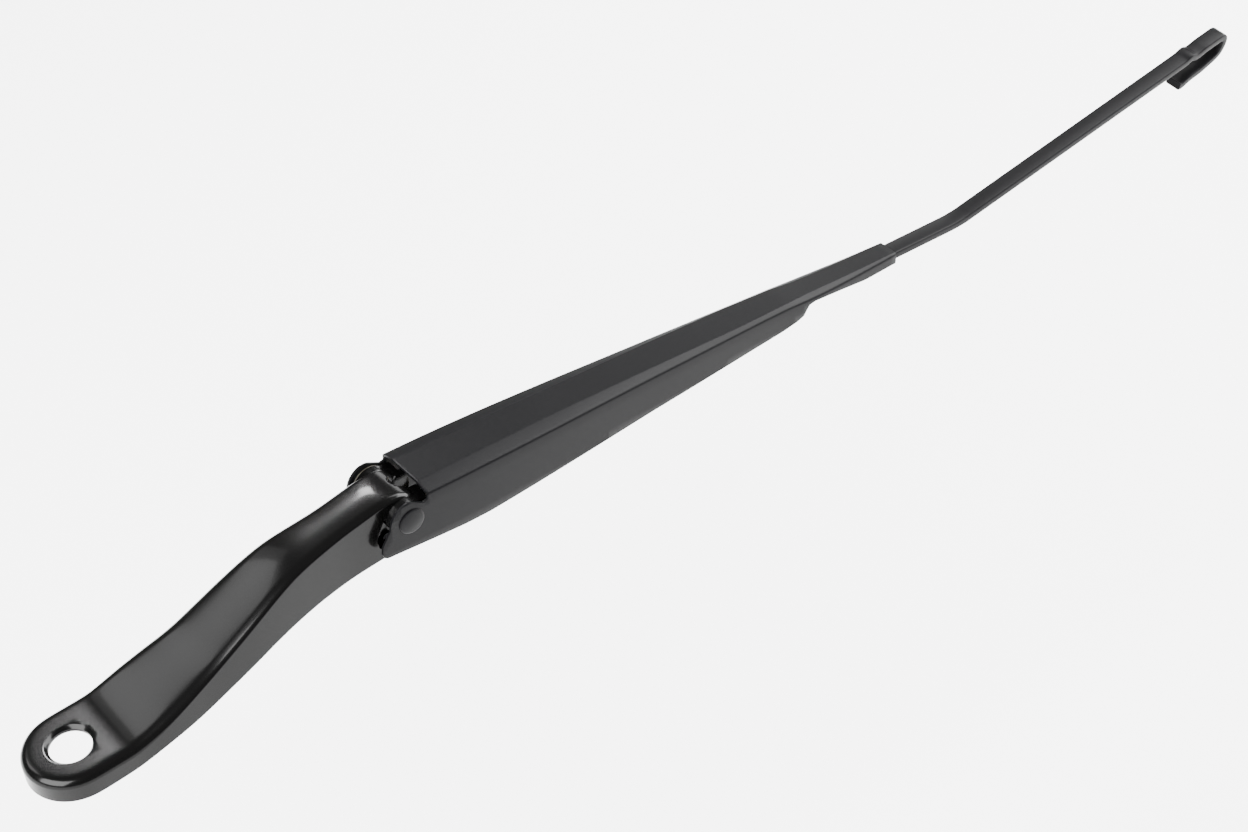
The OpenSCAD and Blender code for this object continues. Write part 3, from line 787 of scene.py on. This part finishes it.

# %% [markdown]
# Each new piece takes the place of its solid, rides on the same body, and gets the material listed
# beside it. The washers, the cross pin and the link are simple turned and bent things whose solids
# are already right, so they stay and only get their material.

# %% Dress the pieces
for obj, body, nodes, slot, material in (
        (head, "head", ("arm_head",), "head_paint", gloss_black),
        (channel, "arm", ("channel",), "channel_paint", satin_black),
        (rod, "arm", ("arm_rod",), "rod_paint", satin_black),
        (spring, "spring", ("tension_spring",), "spring_steel", spring_steel),
        (rivet, "arm", ("hinge_pin",), "rivet_paint", satin_black)):
    obj.data.materials.clear()
    obj.data.materials.append(material)
    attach(obj, body)
    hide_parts(*nodes)
    print(obj.name, "rides on", body)
# The cross pin's near-black colour is partly painted shade, standing in for the dark of the side slot.
for node, material in (("washer_near", dull_zinc), ("washer_far", dull_zinc),
                       ("spring_anchor_pin", pin_black_and_painted_shade), ("spring_link", yellow_zinc)):
    mesh = frame["nodes"][node].data
    mesh.materials.clear()
    mesh.materials.append(material)

# %% [markdown]
# The photograph shows the arm alone on white, with no shadow under it. The floor therefore lies a
# quarter of a metre below the arm: near enough to fill the view with one pale tone and to light the
# arm's sides from below, and far enough that the shadow spreads to nothing.

# %% Floor
floor_bm = bmesh.new()
bmesh.ops.create_grid(floor_bm, x_segments=1, y_segments=1, size=8.0)
bmesh.ops.translate(floor_bm, verts=floor_bm.verts, vec=(0, 0, -0.25))
floor = finish_mesh("floor", floor_bm, Matrix.Identity(4))
pale_floor, _, floor_shader = new_material("pale_studio_floor")
floor_shader.inputs["Base Color"].default_value = linear("#f4f4f4")
floor_shader.inputs["Roughness"].default_value = 0.9
floor.data.materials.append(pale_floor)
floor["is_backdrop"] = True
print("floor:", [round(edge, 1) for edge in floor.dimensions[:2]], "m")

# %% [markdown]
# The camera stands where the photographer's did. Its place was worked out from the photograph's own
# perspective: it looks down at the arm from in front and from the spindle's end, a little more than a
# metre away. It is built from the point it looks at, two angles, a slight roll and the distance.

# %% Camera
target = Vector((0.29405, 0, 0.00426))
azimuth, elevation, roll = math.radians(-35.91), math.radians(42.59), math.radians(-4.45)
distance = 1.1310
back = Vector((math.sin(azimuth) * math.cos(elevation), -math.cos(azimuth) * math.cos(elevation),
               math.sin(elevation)))
right = Vector((math.cos(azimuth), math.sin(azimuth), 0))
up = back.cross(right)
turned_right = right * math.cos(roll) + up * math.sin(roll)
turned_up = up * math.cos(roll) - right * math.sin(roll)
lens = bpy.data.cameras.new("photo_camera")
lens.lens = 70.32
lens.sensor_width = 36
lens.clip_start = 0.05
lens.clip_end = 50
camera = bpy.data.objects.new("photo_camera", lens)
camera_turn = Matrix((turned_right, turned_up, back)).transposed().to_4x4()
camera.matrix_world = Matrix.Translation(target + back * distance) @ camera_turn
bpy.context.scene.collection.objects.link(camera)
bpy.context.scene.camera = camera
print("camera at", [round(v, 2) for v in camera.matrix_world.translation], "m")

# %% [markdown]
# On black paint the lights are seen as shapes. Two large softboxes, left and right, whiten the floor
# and put no hard line on the arm. The small ones stand where the camera finds them mirrored in one
# face each: the patch on the head's end, the long lights on the boss and the rising beam, the
# channel's shoulder and the ears. Each is placed by mirroring the view at that face.

# %% Studio light
world = bpy.data.worlds.new("studio")
world.use_nodes = True
world.node_tree.nodes["Background"].inputs["Color"].default_value = (1, 1, 1, 1)
world.node_tree.nodes["Background"].inputs["Strength"].default_value = 0.3
bpy.context.scene.world = world


def softbox(name, place, aim, size, power):
    """A rectangular light at a place in metres, turned to face another."""
    light = bpy.data.lights.new(name, "AREA")
    light.shape = "RECTANGLE"
    light.size, light.size_y = size
    light.energy = power
    obj = bpy.data.objects.new(name, light)
    direction = Vector(aim) - Vector(place)
    obj.matrix_world = Matrix.Translation(place) @ direction.to_track_quat("-Z", "Y").to_matrix().to_4x4()
    bpy.context.scene.collection.objects.link(obj)


softbox("left_box", (-2.2, -0.6, 1.7), (0.1, 0, 0), (2.6, 2.6), 620)
softbox("right_box", (2.9, -0.6, 1.7), (0.5, 0, 0), (2.6, 2.6), 620)
softbox("far_patch", (0.63, 1.29, 1.43), (0.156, 0, 0.047), (0.34, 0.3), 38)
softbox("far_band", (-0.6, 1.3, 1.42), (0.06, 0, 0.02), (0.6, 0.6), 9)
softbox("far_haze", (-0.6, 1.5, 1.64), (0.06, 0, 0.02), (1.3, 0.8), 9)
softbox("shoulder_glow", (1.37, 0.37, 1.62), (0.23, 0, 0.04), (0.8, 0.8), 30)
softbox("ear_glow", (1.66, 1.28, 0.65), (0.165, 0, 0.04), (0.8, 0.5), 10)
print("lights:", len(bpy.data.lights))

# %% [markdown]
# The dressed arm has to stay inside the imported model's box, because the sizes are the drawing's. Both
# boxes are kept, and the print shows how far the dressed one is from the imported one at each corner.

# %% Sizes kept
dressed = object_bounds()
for name, packed_corner, dressed_corner in zip(("low", "high"), cad_box, dressed):
    apart = [round((d - c) / MM, 2) for c, d in zip(packed_corner, dressed_corner)]
    print(name, "corner apart by", apart, "mm")
